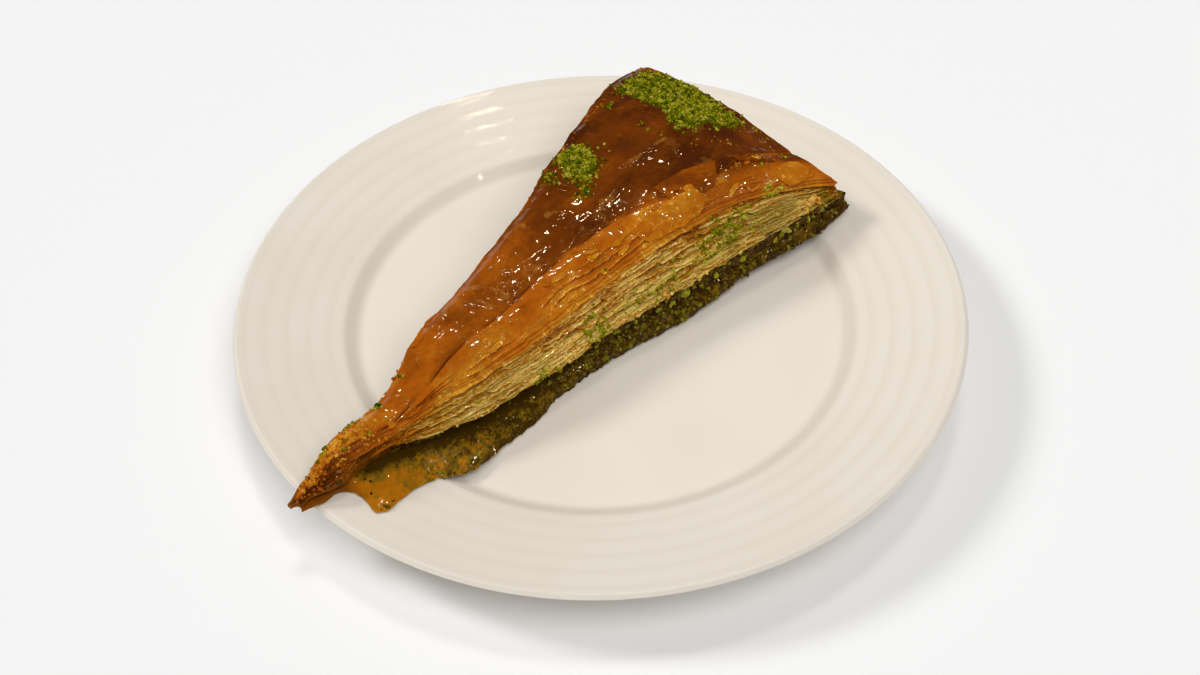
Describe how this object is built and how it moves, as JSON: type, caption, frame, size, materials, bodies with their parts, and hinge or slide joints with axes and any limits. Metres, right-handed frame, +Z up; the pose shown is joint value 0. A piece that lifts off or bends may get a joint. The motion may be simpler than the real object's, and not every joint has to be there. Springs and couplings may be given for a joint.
{
  "type": "pistachio baklava slice on a plate",
  "caption": "Long wedge of layered pistachio baklava with a browned crust, ground nuts and syrup-soaked lower sheets, lying across a round rimmed white plate.",
  "frame": {"origin": "centre of the plate's foot, on the surface that the plate stands on", "axes": "+Z is up along the plate's axis, and the slice runs from its tip on the -X -Y side to its wide end on the +X +Y side"},
  "size_m": [0.255, 0.255, 0.0483],
  "materials": {
    "plate": "gloss",
    "bottom_pastry": "gloss",
    "pistachio_filling": "matte",
    "top_pastry": "gloss"
  },
  "bodies": {
    "root": {"plate": "plate", "bottom_pastry": "bottom_pastry", "pistachio_filling": "pistachio_filling", "top_pastry": "top_pastry"}
  },
  "joints": []
}
